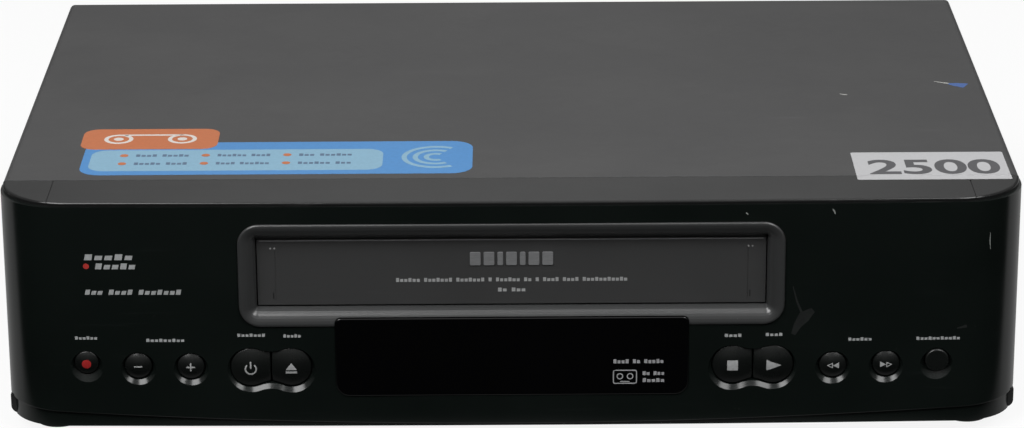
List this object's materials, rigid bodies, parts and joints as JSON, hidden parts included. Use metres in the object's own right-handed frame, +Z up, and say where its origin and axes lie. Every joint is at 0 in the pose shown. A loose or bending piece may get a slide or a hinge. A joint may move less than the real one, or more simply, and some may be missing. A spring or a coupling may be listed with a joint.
{
  "type": "vhs video cassette recorder",
  "caption": "Flat video cassette recorder: glossy bowed front with a hinged cassette flap, display window and push buttons, steel cover, sockets behind and a tape-loading mechanism inside.",
  "frame": {"origin": "middle of the machine's bounding box, on the surface that the feet stand on", "axes": "+X to the viewer's right along the front, +Y from the front to the rear sockets, +Z up"},
  "size_m": [0.38, 0.268, 0.094],
  "materials": {
    "gloss_panel": "polished black moulding",
    "trim_plastic": "fine satin",
    "bezel_plastic": "satin grey paint",
    "flap_plastic": "satin",
    "window_black": "polished tinted acrylic",
    "button_black": "polished",
    "cover_paint": "fine textured paint",
    "rear_paint": "matt paint",
    "base_plastic": "matt moulding",
    "zinc_steel": "zinc plated",
    "foot_rubber": "matt",
    "screw_steel": "blackened",
    "spring_steel": "bright",
    "socket_plastic": "matt",
    "nickel": "nickel plated",
    "board_resin": "coated laminate",
    "component_black": "moulded",
    "display_glass": "clear glass tube",
    "ribbon_grey": "flexible",
    "transformer_core": "ferrite and tape",
    "capacitor_sleeve": "shrunk sleeve",
    "aluminium": "turned",
    "bright_steel": "ground",
    "white_acetal": "moulded",
    "reel_black": "moulded",
    "roller_rubber": "ground",
    "guide_metal": "polished"
  },
  "bodies": {
    "case": {"aerial_sockets": "nickel", "audio_control_head": "bright_steel", "base_frame": "base_plastic", "board_components": "component_black", "bottom_plate": "zinc_steel", "capstan_motor": "bright_steel", "carriage_rails": "zinc_steel", "case_screws": "screw_steel", "cassette_bezel": "bezel_plastic", "deck_plate": "zinc_steel", "display_window": "window_black", "drive_belt": "roller_rubber", "drum_base": "aluminium", "erase_head": "bright_steel", "feet": "foot_rubber", "flap_spring": "spring_steel", "fluorescent_display": "display_glass", "front_board": "board_resin", "front_panel": "gloss_panel", "heat_sink": "aluminium", "key_switches": "component_black", "loading_motor": "bright_steel", "main_board": "board_resin", "mains_inlet": "socket_plastic", "power_board": "board_resin", "power_transformer": "transformer_core", "rear_panel": "rear_paint", "ribbon_cable": "ribbon_grey", "scart_sockets": "socket_plastic", "smoothing_capacitor": "capacitor_sleeve", "top_cover": "cover_paint", "top_trim": "trim_plastic", "tuner_module": "zinc_steel"},
    "flap": {"cassette_flap": "flap_plastic"},
    "carriage_runners": {"carriage_runners": "zinc_steel"},
    "carriage": {"cassette_carriage": "zinc_steel"},
    "head_drum": {"head_drum": "aluminium"},
    "capstan": {"capstan": "bright_steel"},
    "clutch": {"clutch_pulley": "white_acetal"},
    "idler": {"idler_gear": "white_acetal"},
    "takeup_reel": {"takeup_reel": "reel_black"},
    "supply_reel": {"supply_reel": "reel_black"},
    "cam_gear": {"cam_gear": "white_acetal"},
    "loading_pinion": {"loading_pinion": "white_acetal"},
    "supply_guide": {"supply_guide": "guide_metal"},
    "takeup_guide": {"takeup_guide": "guide_metal"},
    "pinch_arm": {"pinch_arm": "bright_steel"},
    "pinch_roller": {"pinch_roller": "roller_rubber"},
    "tension_arm": {"tension_arm": "bright_steel"},
    "record_button": {"record_button": "button_black"},
    "programme_down_button": {"programme_down_button": "button_black"},
    "programme_up_button": {"programme_up_button": "button_black"},
    "rewind_button": {"rewind_button": "button_black"},
    "forward_button": {"forward_button": "button_black"},
    "autoinstall_button": {"autoinstall_button": "button_black"},
    "standby_button": {"standby_button": "button_black"},
    "eject_button": {"eject_button": "button_black"},
    "stop_button": {"stop_button": "button_black"},
    "play_button": {"play_button": "button_black"}
  },
  "joints": [
    {"name": "flap_hinge", "type": "hinge", "parent": "case", "child": "flap", "pos_m": [0, -0.1263, 0.0826], "axis": [1, 0, 0], "range_deg": [0, 85], "stiffness_Nm_per_rad": 0.004},
    {"name": "record_press", "type": "slide", "parent": "case", "child": "record_button", "axis": [0, 1, 0], "range_m": [0, 0.001], "stiffness_N_per_m": 250},
    {"name": "programme_down_press", "type": "slide", "parent": "case", "child": "programme_down_button", "axis": [0, 1, 0], "range_m": [0, 0.001], "stiffness_N_per_m": 250},
    {"name": "programme_up_press", "type": "slide", "parent": "case", "child": "programme_up_button", "axis": [0, 1, 0], "range_m": [0, 0.001], "stiffness_N_per_m": 250},
    {"name": "rewind_press", "type": "slide", "parent": "case", "child": "rewind_button", "axis": [0, 1, 0], "range_m": [0, 0.001], "stiffness_N_per_m": 250},
    {"name": "forward_press", "type": "slide", "parent": "case", "child": "forward_button", "axis": [0, 1, 0], "range_m": [0, 0.001], "stiffness_N_per_m": 250},
    {"name": "autoinstall_press", "type": "slide", "parent": "case", "child": "autoinstall_button", "axis": [0, 1, 0], "range_m": [0, 0.001], "stiffness_N_per_m": 250},
    {"name": "standby_press", "type": "slide", "parent": "case", "child": "standby_button", "axis": [0, 1, 0], "range_m": [0, 0.001], "stiffness_N_per_m": 250},
    {"name": "eject_press", "type": "slide", "parent": "case", "child": "eject_button", "axis": [0, 1, 0], "range_m": [0, 0.001], "stiffness_N_per_m": 250},
    {"name": "stop_press", "type": "slide", "parent": "case", "child": "stop_button", "axis": [0, 1, 0], "range_m": [0, 0.001], "stiffness_N_per_m": 250},
    {"name": "play_press", "type": "slide", "parent": "case", "child": "play_button", "axis": [0, 1, 0], "range_m": [0, 0.001], "stiffness_N_per_m": 250},
    {"name": "carriage_in", "type": "slide", "parent": "case", "child": "carriage_runners", "axis": [0, 1, 0], "range_m": [0, 0.0615]},
    {"name": "carriage_down", "type": "slide", "parent": "carriage_runners", "child": "carriage", "axis": [0, 0, -1], "range_m": [0, 0.0206]},
    {"name": "head_drum_spin", "type": "hinge", "parent": "case", "child": "head_drum", "pos_m": [0, 0.058, 0.0325], "axis": [0, -0.1038, 0.9946], "continuous": true},
    {"name": "capstan_spin", "type": "hinge", "parent": "case", "child": "capstan", "pos_m": [0.06, 0.028, 0.028], "axis": [0, 0, 1], "continuous": true},
    {"name": "clutch_spin", "type": "hinge", "parent": "case", "child": "clutch", "pos_m": [0, -0.024, 0.028], "axis": [0, 0, 1], "continuous": true},
    {"name": "idler_spin", "type": "hinge", "parent": "case", "child": "idler", "pos_m": [0.0212, -0.02436, 0.028], "axis": [0, 0, 1], "continuous": true},
    {"name": "takeup_reel_spin", "type": "hinge", "parent": "case", "child": "takeup_reel", "pos_m": [0.046, -0.039, 0.028], "axis": [0, 0, 1], "continuous": true},
    {"name": "supply_reel_spin", "type": "hinge", "parent": "case", "child": "supply_reel", "pos_m": [-0.046, -0.039, 0.028], "axis": [0, 0, 1], "continuous": true},
    {"name": "cam_turn", "type": "hinge", "parent": "case", "child": "cam_gear", "pos_m": [-0.072, 0.077, 0.028], "axis": [0, 0, 1], "range_deg": [0, 300]},
    {"name": "pinion_spin", "type": "hinge", "parent": "case", "child": "loading_pinion", "pos_m": [-0.07575, 0.05573, 0.028], "axis": [0, 0, 1], "range_deg": [-1500, 0]},
    {"name": "supply_guide_slide", "type": "slide", "parent": "case", "child": "supply_guide", "axis": [0, 1, 0], "range_m": [0, 0.062]},
    {"name": "takeup_guide_slide", "type": "slide", "parent": "case", "child": "takeup_guide", "axis": [0, 1, 0], "range_m": [0, 0.062]},
    {"name": "pinch_arm_swing", "type": "hinge", "parent": "case", "child": "pinch_arm", "pos_m": [0.08, 0.014, 0.028], "axis": [0, 0, 1], "range_deg": [-28, 0]},
    {"name": "pinch_roller_spin", "type": "hinge", "parent": "pinch_arm", "child": "pinch_roller", "pos_m": [0.06009, 0.00885, 0.038], "axis": [0, 0, 1], "continuous": true},
    {"name": "tension_arm_swing", "type": "hinge", "parent": "case", "child": "tension_arm", "pos_m": [-0.078, -0.004, 0.028], "axis": [0, 0, 1], "range_deg": [0, 25], "stiffness_Nm_per_rad": 0.01}
  ],
  "couplings": [
    {"joint": "clutch_spin", "follows": "capstan_spin", "ratio": 0.66667},
    {"joint": "idler_spin", "follows": "capstan_spin", "ratio": -0.51111},
    {"joint": "takeup_reel_spin", "follows": "capstan_spin", "ratio": 0.36508},
    {"joint": "pinion_spin", "follows": "cam_turn", "ratio": -5},
    {"joint": "supply_guide_slide", "follows": "cam_turn", "m_per_rad": 0.011841},
    {"joint": "takeup_guide_slide", "follows": "cam_turn", "m_per_rad": 0.011841},
    {"joint": "pinch_arm_swing", "follows": "cam_turn", "ratio": -0.093333}
  ]
}
